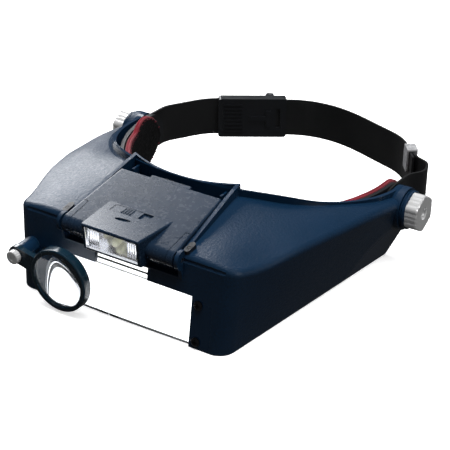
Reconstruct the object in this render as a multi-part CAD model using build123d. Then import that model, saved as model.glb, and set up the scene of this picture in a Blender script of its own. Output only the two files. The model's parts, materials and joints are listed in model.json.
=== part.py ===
from build123d import *
import os
from math import acos, atan2, cos, hypot, radians, sin, tan

# Head visor magnifier. Millimetres, +Z up. The front faces -Y, so the wearer's left is +X.
# Everything is built from the front bottom edge of the visor, and moved to the row origin at the end.

# ---------------------------------------------------------------- visor shell
VISOR_DEPTH = 136.0        # front bottom edge to the headband pivots
BASE_HALF_FRONT = 62.6     # half width of the bottom rim at the front
BASE_HALF_REAR = 80.6      # and at the pivots
FRONT_TILT = 8.13          # the front face leans back, degrees
SHELL_WALL = 2.4
FRONT_CORNER_R = 9.0       # upright front corners
ROOF_EDGE_R = 3.6          # edge between roof and walls
SHOULDER_WIDTH = 13.0      # the roof rolls down towards the side walls over this width
SHOULDER_DROP = 1.8
REAR_TRIM = 5.0            # the bottom rim ends this far ahead of the pivots
OVERRUN_FRONT = 25.0       # construction surfaces run past the visor by these, before they are trimmed
OVERRUN_REAR = 19.0
ROOF_SECTIONS = 12
# Upper side corner and crown of the roof: percent of the depth, then how far the corner stands
# outside the bottom rim, its height, and how far the crown rises above the corners.
CORNER_OUT = ((-18, -8.3), (0, -1.6), (15, 4.4), (29, 9.2), (44, 11.2), (59, 12.3), (74, 12.0), (92, 10.7),
              (121, 7.1))
CORNER_HEIGHT = ((-18, 46.4), (0, 45.8), (15, 45.2), (29, 44.7), (44, 44.6), (59, 43.4), (74, 41.4),
                 (92, 37.4), (121, 31.0))
ROOF_RISE = ((-18, 0.0), (0, 0.3), (15, 2.4), (29, 7.0), (44, 9.9), (59, 6.4), (74, 3.6), (92, 1.0),
             (121, 0.0))

# ---------------------------------------------------------------- forehead rim
RIM_WALL = 2.0
RIM_LAMP_GAP = 1.4         # between the back of the lamp and the rim
RIM_STRAP_GAP = 0.4
# Top of the rim: percent of the way from its front to the pivots, then height.
RIM_TOP = ((-5, 59.2), (10, 56.2), (24, 52.6), (39, 47.6), (57, 43.9), (79, 40.4), (105, 38.2))
RIM_FRONT_FOOT = 41.2      # lowest point of the rim wall at the front
RIM_REAR_FOOT = 31.0

# ---------------------------------------------------------------- headband pivots
PIVOT_Z = 27.6
BOSS_R = 11.5
BOSS_SETBACK = 0.4         # inner face of the boss, outside the bottom rim's half width
BOSS_THICK = 7.6
DISC_R = 10.4
DISC_THICK = 2.9
KNOB_R = 10.2
KNOB_THICK = 6.7
KNOB_LOBES = 6
BOLT_R = 2.0
BOLT_HEAD_R = 5.0
BOLT_HEAD_THICK = 1.2
FACE_GAP = 0.1             # between stacked flat faces that turn on each other
RUN_GAP = 0.06             # radial running clearance
FIT_GAP = 0.1              # around pieces that drop into a pocket

# ---------------------------------------------------------------- front lens
WINDOW_HALF = 42.4
LENS_SCREW_OUT = 4.0       # the window's side to the screws, and the screws to the lens's side
LENS_SCREW_EDGE = 3.8
WINDOW_TOP = 26.7
BAR_END = 16.0             # the bars under the barrels stop here; the lamp head hangs between them
LENS_FOOT = 0.6
LENS_TOP = 28.4
LENS_FLANGE = 2.0
LENS_CROWN = 0.9           # how far the front lens bulges in the middle
LENS_SCREW_S = (3.9, 23.2)
SCREW_R = 1.25
SCREW_HEAD_R = 2.35
SCREW_HEAD = 1.3
RETAINER_WIDTH = 6.0
RETAINER_THICK = 2.4

# ---------------------------------------------------------------- lamp unit
LAMP_SLOPE = 10.87         # the lamp falls towards the front, degrees
HINGE_Y = 5.25
HINGE_Z = 43.28
BARREL_R = 4.6
BARREL_END = 33.2
SLAB_LENGTH = 43.9
TAB_LENGTH = 2.0
SLAB_HALF_FRONT = 33.7
SLAB_HALF_REAR = 30.8
SLAB_THICK = 13.1
LAMP_WALL = 1.4
LID_WALL = 1.2
RECESS_GAP = 0.5
TRAY_WALL = 2.0
RIB_TOP_FRONT = 2.5        # height of the side ribs above the hinge axis, at the hinge
RIB_TOP_REAR = 4.6
HEAD_TOP_Z = 51.3
HEAD_BOTTOM_Z = 36.8
HEAD_FRONT_Y = -3.9
HEAD_REAR_Y = 24.0
HEAD_HALF_FRONT = 17.1
HEAD_HALF_REAR = 19.5
HEAD_LEAN = 1.3            # the head's front face runs back this far towards its bottom
LIGHT_HALF = 15.6
LIGHT_TOP_Z = 49.9
LIGHT_BOTTOM_Z = 38.1
PIN_R = 1.5
HINGE_CLIP_X = 36.6
HINGE_CLIP_Y = 6.4
CLIP_LONG = 7.6
CLIP_WIDE = 3.2
CLIP_HIGH = 4.0
CELL_R = 5.2
CELL_BODY = 43.5
CELL_NUB = 0.9
CELL_Y = (23.6, 34.8)
CONTACT_X = 25.5
SPRING_LENGTH = 6.3
SLOT_X = -3.1
SLOT_LENGTH = 22.8
SLOT_WIDTH = 6.4
SLOT_Y = 18.4
SLOT_DEPTH = 1.0
SLIDER_LENGTH = 16.6
SWITCH_TRAVEL = 5.0

# ---------------------------------------------------------------- loupe
LOUPE_PIVOT_X = -55.3
LOUPE_PIVOT_Z = 24.1
LOUPE_X = -28.4
LOUPE_Z = 18.3
LOUPE_Y = -8.0
LOUPE_R = 17.0
LOUPE_DEPTH = 5.6
LOUPE_WALL = 1.6
LOUPE_SEAT = 0.9           # width of the lip that the lens sits on
LOUPE_LENS_THICK = 4.4
LOUPE_EDGE = 1.6
ARM_WIDTH = 9.3
ARM_THICK = 3.0
LOUPE_BOSS_R = 4.6
THUMB_R = 3.65
THUMB_LENGTH = 3.4

# ---------------------------------------------------------------- flip-in lens
FLIP_Y = 12.6
FLIP_Z = 29.8
FLIP_HALF = 31.5
FLIP_LENGTH = 27.0
FLIP_THICK = 3.2
FLIP_RAIL_R = 2.2
FLIP_PIN_R = 1.0
FLIP_RIM = 3.0
BRACKET_THICK = 2.0

# ---------------------------------------------------------------- headband
BAND_THICK = 2.0
BAND_HEIGHT = 23.0
STRAP_THICK = 1.2
STRAP_HEIGHT = 22.5
WASHER_THICK = 0.6
WASHER_R = 7.0
PAD_THICK = 3.6
PAD_HEIGHT = 23.8
PAD_GAP = 0.3              # from the band, and round the bolt heads
PAD_TAB_R = 16.0           # broad round tab at the pad's right end
PAD_TAB_AHEAD = 13.0       # its centre, ahead of the pivots
BAND_CURVE = 0.3           # the band curves away from the bolt head by less than this
BAND_FRONT_GAP = 1.8       # rim to the front of the band
PAD_BEHIND = 15.0          # the pad ends this far behind the pivots
REST_TILT = -1.8           # the headband rests with its rear this much lower, degrees
BUCKLE_ACROSS = -0.546     # place of the buckle, as a share of the strap's half width
BUCKLE_BEHIND = 56.0
BUCKLE_TURN = 35.0
BUCKLE_LENGTH = 40.5
BUCKLE_HEIGHT = 24.4
LEVER_LENGTH = 28.0
LEVER_RISE = 4.6
LEVER_HALF = 10.0
LEVER_PIN_R = 1.0
LEVER_STAND = 2.0          # the lever's pin stands this far off the buckle
LEVER_LIFT = 20.0          # the heel is cut back to let the lever lift this far, degrees
CLIP_LENGTH = 9.0
CLIP_FOOT = -1.0           # the clip's lower edge, from the middle of the strap

SIDES = {"left": 1, "right": -1}
SIDE_REACH = BASE_HALF_REAR + 40.0    # cuts through the whole width run out to here
BOSS_INNER_X = BASE_HALF_REAR + BOSS_SETBACK
BOSS_OUTER_X = BOSS_INNER_X + BOSS_THICK
RIM_FRONT_Y = HINGE_Y + (SLAB_LENGTH + TAB_LENGTH) * cos(radians(LAMP_SLOPE)) + RIM_LAMP_GAP
RIM_HALF_LENGTH = VISOR_DEPTH - RIM_FRONT_Y
RIM_HALF_WIDTH = BOSS_INNER_X + RIM_WALL + RIM_STRAP_GAP
STRAP_X = BOSS_INNER_X - FACE_GAP - WASHER_THICK - FACE_GAP - STRAP_THICK / 2
BAND_X = STRAP_X - STRAP_THICK / 2 - FACE_GAP - BAND_THICK / 2
BOLT_HEAD_X = BAND_X - BAND_THICK / 2 - BAND_CURVE
PAD_OUTER_X = BAND_X - BAND_THICK / 2 - PAD_GAP
BAND_HALF_LENGTH = RIM_HALF_LENGTH - RIM_WALL - BAND_FRONT_GAP - BAND_THICK / 2
PAD_END_Y = VISOR_DEPTH + PAD_BEHIND
PAD_TAB_Y = VISOR_DEPTH - PAD_TAB_AHEAD
BUCKLE_X = BUCKLE_ACROSS * STRAP_X
BUCKLE_Y = VISOR_DEPTH + BUCKLE_BEHIND
LENS_SCREW_X = WINDOW_HALF + LENS_SCREW_OUT
LENS_HALF = LENS_SCREW_X + LENS_SCREW_EDGE
LOUPE_LENS_R = LOUPE_R - LOUPE_WALL
LOUPE_CLEAR_R = LOUPE_LENS_R - LOUPE_SEAT
FRONT = Plane(origin=(0, 0, 0), x_dir=(1, 0, 0),
              z_dir=(0, -cos(radians(FRONT_TILT)), sin(radians(FRONT_TILT))))
LAMP = Plane(origin=(0, HINGE_Y, HINGE_Z), x_dir=(1, 0, 0),
             z_dir=(0, -sin(radians(LAMP_SLOPE)), cos(radians(LAMP_SLOPE))))
FLIP = Plane(origin=(0, FLIP_Y, FLIP_Z), x_dir=(1, 0, 0), z_dir=LAMP.z_dir)
BUCKLE = Plane(origin=(BUCKLE_X, BUCKLE_Y, PIVOT_Z),
               x_dir=(cos(radians(BUCKLE_TURN)), sin(radians(BUCKLE_TURN)), 0),
               z_dir=(sin(radians(BUCKLE_TURN)), -cos(radians(BUCKLE_TURN)), 0))
ACROSS = Plane(origin=(0, 0, 0), x_dir=(0, 1, 0), z_dir=(1, 0, 0))   # sketches of (y, z)

DISC_X = BOSS_OUTER_X + FACE_GAP
KNOB_X = DISC_X + DISC_THICK + FACE_GAP
KNOB_FACE_X = KNOB_X + KNOB_THICK
LENS_BACK = SHELL_WALL + FIT_GAP + LENS_FLANGE
LOUPE_ARM_FRONT = LOUPE_Y - ARM_THICK / 2
LOUPE_ARM_BACK = LOUPE_Y + ARM_THICK / 2
LOUPE_WASHER = 0.3


# ---------------------------------------------------------------- helpers
def block(x0, x1, y0, y1, z0, z1):
    """Box between two corners."""
    return Pos((x0 + x1) / 2, (y0 + y1) / 2, (z0 + z1) / 2) * Box(abs(x1 - x0), abs(y1 - y0), abs(z1 - z0))


def rod_x(radius, x0, x1, y=0.0, z=0.0):
    """Cylinder along X."""
    return Pos((x0 + x1) / 2, y, z) * Rot(0, 90, 0) * Cylinder(radius, abs(x1 - x0))


def rod_y(radius, y0, y1, x=0.0, z=0.0):
    """Cylinder along Y."""
    return Pos(x, (y0 + y1) / 2, z) * Rot(90, 0, 0) * Cylinder(radius, abs(y1 - y0))


def rod_z(radius, z0, z1, x=0.0, y=0.0):
    """Cylinder along Z."""
    return Pos(x, y, (z0 + z1) / 2) * Cylinder(radius, abs(z1 - z0))


def along(points, y):
    """Smooth curve through (y, value) points."""
    ys = [point[0] for point in points]
    values = [point[1] for point in points]
    i = min(len(ys) - 2, sum(1 for mark in ys[1:-1] if mark <= y))

    def slope(k):
        low = max(0, k - 1)
        high = min(len(ys) - 1, k + 1)
        return (values[high] - values[low]) / (ys[high] - ys[low])

    span = ys[i + 1] - ys[i]
    t = (y - ys[i]) / span
    start = slope(i) * span
    end = slope(i + 1) * span
    rise = values[i + 1] - values[i]
    return values[i] + start * t + (3 * rise - 2 * start - end) * t**2 + (start + end - 2 * rise) * t**3


def base_half(y):
    """Half width of the bottom rim at a distance back."""
    return BASE_HALF_FRONT + (BASE_HALF_REAR - BASE_HALF_FRONT) * y / VISOR_DEPTH


def at_depth(table, y):
    """Value at a distance back, from a table in percent of the depth."""
    return along(table, 100 * y / VISOR_DEPTH)


def wall_x(y, z):
    """Half width of the side wall, which leans outwards."""
    return base_half(y) + at_depth(CORNER_OUT, y) * z / at_depth(CORNER_HEIGHT, y)


def roof_z(x, y):
    """Height of the roof: crowned across, rolled down at the shoulders."""
    half = base_half(y) + at_depth(CORNER_OUT, y)
    share = min(abs(x) / half, 1.08)
    into_shoulder = max(0.0, 1 - (half - share * half) / SHOULDER_WIDTH)
    drop = SHOULDER_DROP * min(1.0, max(0.0, (y - 2) / 20))
    return at_depth(CORNER_HEIGHT, y) + at_depth(ROOF_RISE, y) * (1 - share**2) - drop * into_shoulder**2


# ---------------------------------------------------------------- visor
def wall_outline(z, inset):
    """Plan of the visor at one height, with rounded front corners."""
    front = z * tan(radians(FRONT_TILT)) + inset
    rear = VISOR_DEPTH + OVERRUN_REAR
    stations = [front + (rear - front) * k / 7 for k in range(8)]
    left = [(wall_x(y, z) - inset, y) for y in stations]
    right = [(-x, y) for x, y in left]
    face = make_face([Line(right[0], left[0]), Spline(*left), Line(left[-1], right[-1]), Spline(*right)])
    corners = face.vertices().sort_by(Axis.Y)[:2]
    return Pos(0, 0, z) * fillet(corners, FRONT_CORNER_R - inset)


def under_roof(inset):
    """Everything under the roof surface."""
    sections = []
    span = BASE_HALF_REAR + 23.4
    shares = [-1, -0.885, -0.73, -0.54, -0.29, 0, 0.29, 0.54, 0.73, 0.885, 1]
    for k in range(ROOF_SECTIONS + 1):
        y = -OVERRUN_FRONT + (VISOR_DEPTH + OVERRUN_FRONT + OVERRUN_REAR) * k / ROOF_SECTIONS
        top = Spline(*[(span * share, roof_z(span * share, y) - inset) for share in shares])
        end = roof_z(span, y) - inset
        rest = Polyline((span, end), (span, -40), (-span, -40), (-span, end))
        plane = Plane(origin=(0, y, 0), x_dir=(1, 0, 0), z_dir=(0, -1, 0))
        sections.append(plane * make_face([top, *rest.edges()]))
    return loft(sections)


def visor_body(inset, edge_radius):
    """Solid of the visor's outer form, or of its hollow."""
    foot = -3.0 if inset else 0.0
    walls = loft([wall_outline(foot, inset), wall_outline(64.0, inset)], ruled=True)
    body = walls & under_roof(inset)
    roof = [face for face in body.faces() if face.normal_at().Z > 0.7][0]
    edges = [edge for edge in roof.edges() if edge.center().Y < VISOR_DEPTH]
    return fillet(edges, edge_radius)


def head_prism(half_width, half_length, z0, z1):
    """Upright prism of the head opening: half an ellipse in front of the pivots, straight behind."""
    oval = extrude(Pos(0, VISOR_DEPTH + 1, z0) * Ellipse(half_width, half_length), z1 - z0)
    front = oval & block(-200, 200, -100, VISOR_DEPTH + 1, z0, z1)
    return front + block(-half_width, half_width, VISOR_DEPTH + 1, VISOR_DEPTH + 60, z0, z1)


def forehead_rim():
    """Thin oval wall that stands above the roof round the forehead."""
    wall = head_prism(RIM_HALF_WIDTH, RIM_HALF_LENGTH, 20, 70)
    wall -= head_prism(RIM_HALF_WIDTH - RIM_WALL, RIM_HALF_LENGTH - RIM_WALL, 19, 71)
    marks = [(RIM_FRONT_Y + RIM_HALF_LENGTH * percent / 100, height) for percent, height in RIM_TOP]
    top = Spline(*marks)
    first = marks[0]
    last = marks[-1]
    rest = Polyline(last, (last[0], RIM_REAR_FOOT), (first[0], RIM_FRONT_FOOT), first)
    profile = extrude(ACROSS * make_face([top, *rest.edges()]), 120, both=True)
    return wall & profile


def side_profile():
    """Side view of the visor behind the front: a slanted rear edge that runs into the pivot boss."""
    trim = VISOR_DEPTH - REAR_TRIM
    reach = hypot(PIVOT_Z, REAR_TRIM)
    tangent = atan2(-PIVOT_Z, -REAR_TRIM) + acos(BOSS_R / reach)
    touch = (VISOR_DEPTH + BOSS_R * cos(tangent), PIVOT_Z + BOSS_R * sin(tangent))
    outline = Polyline((-30, -5), (trim, -5), (trim, 0), touch, (VISOR_DEPTH, PIVOT_Z),
                       (VISOR_DEPTH, 90), (-30, 90), close=True)
    sheet = make_face(outline) + Pos(VISOR_DEPTH, PIVOT_Z) * Circle(BOSS_R)
    return extrude(ACROSS * sheet, 120, both=True)


def lamp_plan(extra, y0, y1, z0, z1):
    """Prism in the lamp's frame that follows the slab's tapering plan, made wider by extra."""
    def half(y):
        return SLAB_HALF_FRONT + (SLAB_HALF_REAR - SLAB_HALF_FRONT) * y / SLAB_LENGTH + extra

    plan = make_face(Polyline((-half(y0), y0), (half(y0), y0), (half(y1), y1), (-half(y1), y1), close=True))
    return LAMP * Pos(0, 0, z0) * extrude(plan, z1 - z0)


TRAY_FLOOR = BARREL_R - SLAB_THICK - RECESS_GAP


def lamp_tray():
    """Side ribs, floor and hinge cheeks of the recess that the lamp sits in."""
    side = make_face(Polyline((-2.5, TRAY_FLOOR - TRAY_WALL), (60, TRAY_FLOOR - TRAY_WALL), (60, RIB_TOP_REAR),
                              (48, RIB_TOP_REAR), (0, RIB_TOP_FRONT), (-2.5, RIB_TOP_FRONT - 0.6), close=True))
    side += Circle(BARREL_R + 0.4)
    slab = LAMP * extrude(ACROSS * side, 60, both=True)
    return slab & lamp_plan(RECESS_GAP + TRAY_WALL, -12, 60, -20, 20)


def lens_screw_holes(radius, z0, z1):
    """Rods along the four lens screws."""
    holes = [FRONT * rod_z(radius, z0, z1, side * LENS_SCREW_X, s) for side in (1, -1) for s in LENS_SCREW_S]
    return holes[0] + holes[1] + holes[2] + holes[3]


def flip_screw_places():
    """Where the flip-in lens brackets are screwed to the tray floor, in the flip frame."""
    return [(side * (FLIP_HALF - 3.5), 1.0) for side in (1, -1)]


FLIP_CEILING = (HINGE_Z - FLIP_Z) * cos(radians(LAMP_SLOPE)) - (HINGE_Y - FLIP_Y) * sin(radians(LAMP_SLOPE))
FLIP_CEILING += TRAY_FLOOR - TRAY_WALL - 0.03


def make_visor_shell():
    outer = visor_body(0, ROOF_EDGE_R)
    inner = visor_body(SHELL_WALL, ROOF_EDGE_R - SHELL_WALL)
    shell = (outer - inner) & side_profile()
    for side in SIDES.values():
        shell += rod_x(BOSS_R, side * BOSS_INNER_X, side * BOSS_OUTER_X, VISOR_DEPTH, PIVOT_Z)
    shell += lamp_tray()
    shell -= head_prism(RIM_HALF_WIDTH - RIM_WALL, RIM_HALF_LENGTH - RIM_WALL, 5, 90)
    recess = lamp_plan(RECESS_GAP, -14, 58, TRAY_FLOOR, 40)
    recess -= head_prism(RIM_HALF_WIDTH - RIM_WALL / 2, RIM_HALF_LENGTH - RIM_WALL / 2, 5, 120)
    shell -= recess
    shell += forehead_rim()
    for side in SIDES.values():
        shell += block(side * 26.4, side * 27.6, RIM_FRONT_Y - 0.2, RIM_FRONT_Y + 6.2, RIM_FRONT_FOOT + 1.5, 54.6)
    window = block(-WINDOW_HALF, WINDOW_HALF, -5, WINDOW_TOP, -SHELL_WALL - 2, 5)
    gap = block(-BAR_END, BAR_END, WINDOW_TOP - 1, 33.4, -SHELL_WALL - 0.6, 5)
    shell -= FRONT * window
    shell -= FRONT * gap
    shell += rod_y(LOUPE_BOSS_R, LOUPE_ARM_BACK + FACE_GAP + LOUPE_WASHER + FACE_GAP, 5.2, LOUPE_PIVOT_X, LOUPE_PIVOT_Z)
    shell -= rod_y(PIN_R + RUN_GAP, LOUPE_Y, 4.2, LOUPE_PIVOT_X, LOUPE_PIVOT_Z)
    shell -= lens_screw_holes(SCREW_R + FIT_GAP, -SHELL_WALL - 2, 3)
    for side in SIDES.values():
        shell -= rod_x(BOLT_R + RUN_GAP, side * (BOSS_INNER_X - 10), side * (BOSS_OUTER_X + 10), VISOR_DEPTH, PIVOT_Z)
        shell -= LAMP * rod_x(PIN_R, side * 30, side * 60)
        shell -= clip_pocket(side, FIT_GAP)
    for side in SIDES.values():
        shell -= rod_x(BOSS_R, side * BOSS_OUTER_X, side * (BOSS_OUTER_X + 12), VISOR_DEPTH, PIVOT_Z)
    for x, y in flip_screw_places():
        shell -= FLIP * rod_z(0.9, FLIP_CEILING - 1, FLIP_CEILING + 1.5, x, y)
    return shell


def clip_pocket(side, extra):
    """Capsule over the hinge pin's end, standing a little proud of the roof."""
    slot = Rot(0, 0, 90) * SlotOverall(CLIP_LONG + 2 * extra, CLIP_WIDE + 2 * extra)
    height = CLIP_HIGH + (3 if extra else 0)
    return LAMP * Pos(side * HINGE_CLIP_X, HINGE_CLIP_Y, -extra) * extrude(slot, height)


def make_hinge_clip(side):
    """Black clip with a small slotted screw moulded into its top."""
    clip = clip_pocket(side, 0)
    groove = Cylinder(1.1, 0.6) - Cylinder(0.8, 0.6)
    return clip - LAMP * Pos(side * HINGE_CLIP_X, HINGE_CLIP_Y - 0.8, CLIP_HIGH) * groove


def make_lamp_pin(side):
    return LAMP * rod_x(PIN_R, side * 30.4, side * 35.9)


def make_front_lens():
    """Clear rectangular magnifier: a flange behind the window and a bulged block that fills it."""
    flange = block(-LENS_HALF, LENS_HALF, LENS_FOOT, LENS_TOP, -LENS_BACK, -SHELL_WALL - FIT_GAP)
    half = WINDOW_HALF - 2 * FIT_GAP
    rim = -SHELL_WALL + 0.9
    arc = ThreePointArc((-half, rim), (0, rim + LENS_CROWN), (half, rim))
    plan = make_face([arc, *Polyline((half, rim), (half, -LENS_BACK), (-half, -LENS_BACK), (-half, rim)).edges()])
    raised = Plane(origin=(0, LENS_FOOT, 0), x_dir=(1, 0, 0), z_dir=(0, -1, 0)) * plan
    raised = extrude(raised, WINDOW_TOP - 2 * FIT_GAP - LENS_FOOT, dir=(0, 1, 0))
    lens = FRONT * (flange + raised)
    return lens - lens_screw_holes(SCREW_R + FIT_GAP, -LENS_BACK - 1, 0)


def make_lens_retainer(side):
    """Bar behind the lens flange that takes the screw threads."""
    x0 = side * (LENS_SCREW_X - RETAINER_WIDTH / 2)
    x1 = side * (LENS_SCREW_X + RETAINER_WIDTH / 2)
    top = -LENS_BACK
    bar = block(x0, x1, LENS_FOOT + 0.6, LENS_TOP - 1.4, top - RETAINER_THICK, top)
    bar = fillet(bar.edges().filter_by(Axis.Z), 1.5)
    return FRONT * bar - lens_screw_holes(SCREW_R, -20, 0)


def make_lens_screws():
    """Four cross-head screws."""
    screws = []
    for side in (1, -1):
        for s in LENS_SCREW_S:
            head = Pos(0, 0, -1.6) * Sphere(3.3) & block(-4, 4, -4, 4, 0, 3)
            head = head & rod_z(SCREW_HEAD_R, 0, SCREW_HEAD)
            head -= block(-1.5, 1.5, -0.3, 0.3, SCREW_HEAD - 0.8, 3)
            head -= block(-0.3, 0.3, -1.5, 1.5, SCREW_HEAD - 0.8, 3)
            shank = rod_z(SCREW_R, -LENS_BACK - RETAINER_THICK + 0.3, 0.1)
            screws.append(FRONT * Pos(side * LENS_SCREW_X, s, 0) * (head + shank))
    return Compound(children=screws)


def make_pivot_disc(side):
    """Stepped friction disc between the boss and the knob."""
    disc = rod_x(DISC_R, side * DISC_X, side * (DISC_X + DISC_THICK), VISOR_DEPTH, PIVOT_Z)
    disc = chamfer(disc.edges().filter_by(GeomType.CIRCLE), 0.4)
    groove = rod_x(DISC_R + 1, side * (DISC_X + 0.9), side * (DISC_X + 1.3), VISOR_DEPTH, PIVOT_Z)
    groove -= rod_x(DISC_R - 0.5, side * (DISC_X + 0.8), side * (DISC_X + 1.4), VISOR_DEPTH, PIVOT_Z)
    return disc - groove - rod_x(BOLT_R + RUN_GAP, side * (DISC_X - 5), side * (KNOB_X + 5), VISOR_DEPTH, PIVOT_Z)


# ---------------------------------------------------------------- flip-in lens
def make_flip_bracket(side):
    """Ear under the lamp tray that holds one end of the flip-in lens pin."""
    x0 = side * (FLIP_HALF + 0.4)
    x1 = side * (FLIP_HALF + 0.4 + BRACKET_THICK)
    ear = block(x0, x1, -3, 4, -1, FLIP_CEILING)
    ear += rod_x(3.0, x0, x1)
    foot = block(side * (FLIP_HALF - 6.5), x1, -2, 4, FLIP_CEILING - 0.6, FLIP_CEILING)
    bracket = ear + foot - rod_x(FLIP_PIN_R, side * 20, side * 40)
    for x, y in flip_screw_places():
        bracket -= rod_z(0.95, 0, 10, x, y)
    return FLIP * bracket


def make_flip_pin():
    length = FLIP_HALF + 0.4 + BRACKET_THICK
    return FLIP * rod_x(FLIP_PIN_R, -length, length)


def make_flip_screws():
    screws = []
    for x, y in flip_screw_places():
        shank = rod_z(0.85, FLIP_CEILING - 0.7, FLIP_CEILING + 1.3, x, y)
        screws.append(FLIP * (shank + rod_z(1.5, FLIP_CEILING - 1.2, FLIP_CEILING - 0.65, x, y)))
    return Compound(children=screws)


FLIP_POCKET = FLIP_HALF - FLIP_RIM


def make_flip_frame():
    """Rail on the pin and a rectangular rim that holds the flip-in lens."""
    half = FLIP_THICK / 2
    frame = block(-FLIP_HALF, FLIP_HALF, 0, FLIP_LENGTH, -half, half)
    frame = fillet(frame.edges().filter_by(Axis.Z).sort_by(Axis.Y)[-2:], 4.0)
    frame += rod_x(FLIP_RAIL_R, -FLIP_HALF, FLIP_HALF)
    frame += block(-5, 5, FLIP_LENGTH - 1, FLIP_LENGTH + 2.0, -0.8, 0.8)
    frame -= block(-FLIP_POCKET, FLIP_POCKET, FLIP_RIM, FLIP_LENGTH - FLIP_RIM + 0.6, -half + 0.8, half + 1)
    frame -= block(-FLIP_POCKET + 0.8, FLIP_POCKET - 0.8, FLIP_RIM + 0.8, FLIP_LENGTH - FLIP_RIM - 0.2, -half - 1, 0)
    return FLIP * (frame - rod_x(FLIP_PIN_R + RUN_GAP, -40, 40))


def make_flip_lens():
    half = FLIP_THICK / 2
    gap = FIT_GAP / 2
    return FLIP * block(-FLIP_POCKET + gap, FLIP_POCKET - gap, FLIP_RIM + gap, FLIP_LENGTH - FLIP_RIM + 0.6 - gap,
                        -half + 0.85, half - 0.3)


# ---------------------------------------------------------------- lamp unit
def head_block(extra):
    """The lamp head, with its level top and leaning front."""
    def plan(z, front):
        outline = Polyline((-HEAD_HALF_FRONT, front), (HEAD_HALF_FRONT, front), (HEAD_HALF_REAR, HEAD_REAR_Y),
                           (-HEAD_HALF_REAR, HEAD_REAR_Y), close=True)
        return Pos(0, 0, z) * make_face(outline)

    head = loft([plan(HEAD_BOTTOM_Z - extra, HEAD_FRONT_Y + HEAD_LEAN), plan(HEAD_TOP_Z, HEAD_FRONT_Y)], ruled=True)
    front_edges = head.edges().sort_by(Axis.Y)[:5]
    return fillet(front_edges, 0.9)


def make_lamp_cover():
    slab = lamp_plan(0, 0, SLAB_LENGTH, BARREL_R - SLAB_THICK, BARREL_R)
    rear = slab.edges().filter_by(lambda e: abs(e.tangent_at(0.5).dot(LAMP.z_dir)) > 0.99).sort_by(Axis.Y)[-2:]
    slab = fillet(rear, 1.4)
    top = slab.faces().sort_by(Axis.Z)[-1]
    slab = fillet([edge for edge in top.edges() if edge.center().Y > HINGE_Y + 1], 0.9)
    cover = slab + LAMP * block(-13, 11, SLAB_LENGTH - 1.5, SLAB_LENGTH + TAB_LENGTH, BARREL_R - 1.9, BARREL_R - 0.5)
    cover += LAMP * rod_x(BARREL_R, -BARREL_END, BARREL_END)
    for side in (1, -1):
        ring = rod_x(BARREL_R + 1, side * 29.2, side * 29.6) - rod_x(BARREL_R - 0.35, side * 29, side * 30)
        cover -= LAMP * (ring & block(-40, 40, -10, 0.2, -10, 10))
        cover -= LAMP * block(side * 29.2, side * 29.6, 0, 14, BARREL_R - 0.35, BARREL_R + 1)
        cover -= LAMP * block(side * 29.2, side * 40, 13.6, 14, BARREL_R - 0.35, BARREL_R + 1)
    cover -= LAMP * (block(-16.9, 16.9, -BARREL_R - 1, 0, -BARREL_R - 1, BARREL_R + 1))
    head = head_block(0)
    above = LAMP * block(-60, 60, -60, 60, BARREL_R - SLAB_THICK, 60)
    cover += head & above
    cover -= lamp_plan(-LAMP_WALL, BARREL_R + 1.5, SLAB_LENGTH - LAMP_WALL, -20, BARREL_R - LID_WALL)
    cover -= block(-LIGHT_HALF, LIGHT_HALF, HEAD_FRONT_Y - 2, HINGE_Y + 10, LIGHT_BOTTOM_Z, LIGHT_TOP_Z)
    cover += LAMP * rod_z(2.4, BASE_TOP, BARREL_R - LID_WALL + 0.2, DOOR_SCREW_X, DOOR_SCREW_Y)
    cover -= LAMP * rod_z(0.9, BASE_TOP - 1, BARREL_R - 3.2, DOOR_SCREW_X, DOOR_SCREW_Y)
    for side in (1, -1):
        cover -= LAMP * rod_x(PIN_R + RUN_GAP, side * 30, side * 40)
    slot = Pos(SLOT_X, SLOT_Y, HEAD_TOP_Z - SLOT_DEPTH / 2 + 1) * Box(SLOT_LENGTH, SLOT_WIDTH, SLOT_DEPTH + 2)
    cover -= slot
    cover -= block(STEM_X0 - 0.3, STEM_X1 + SWITCH_TRAVEL + 0.3, SLOT_Y - 0.8, SLOT_Y + 0.8, 46, HEAD_TOP_Z)
    thumb_dip = Pos(-2.5, 10.2, HEAD_TOP_Z) * Rot(0, 0, 7) * extrude(Ellipse(4.4, 1.3), -0.9)
    cover -= thumb_dip
    return cover


BASE_TOP = BARREL_R - SLAB_THICK + LID_WALL
CELL_Z = BARREL_R - LID_WALL - 0.2 - CELL_R
CONTACT_TOP = BARREL_R - LID_WALL - 1.4
CONTACT_FOOT = CONTACT_TOP - 8.4
DOOR_SCREW_X = 16.0
DOOR_SCREW_Y = 14.8
DOOR_HALF = CONTACT_X - 1.0
DOOR_Y0 = 12.0
DOOR_Y1 = 40.4
STEM_X0 = -6.2
STEM_X1 = -3.2


def make_lamp_base():
    """Plate that closes the slab, with the battery opening and the two rails that hold the contacts."""
    y0 = BARREL_R + 1.5 + FIT_GAP
    base = lamp_plan(-LAMP_WALL - FIT_GAP, y0, SLAB_LENGTH - LAMP_WALL - FIT_GAP, BASE_TOP - LID_WALL, BASE_TOP)
    base -= LAMP * block(-DOOR_HALF, DOOR_HALF, DOOR_Y0, DOOR_Y1, -20, 0)
    for side in (1, -1):
        rail = block(side * (CONTACT_X + 0.55), side * (CONTACT_X + 1.9), CELL_Y[0] - 4.6, CELL_Y[1] + 4.6,
                     BASE_TOP, CONTACT_TOP)
        base += LAMP * rail
    return base


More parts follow.
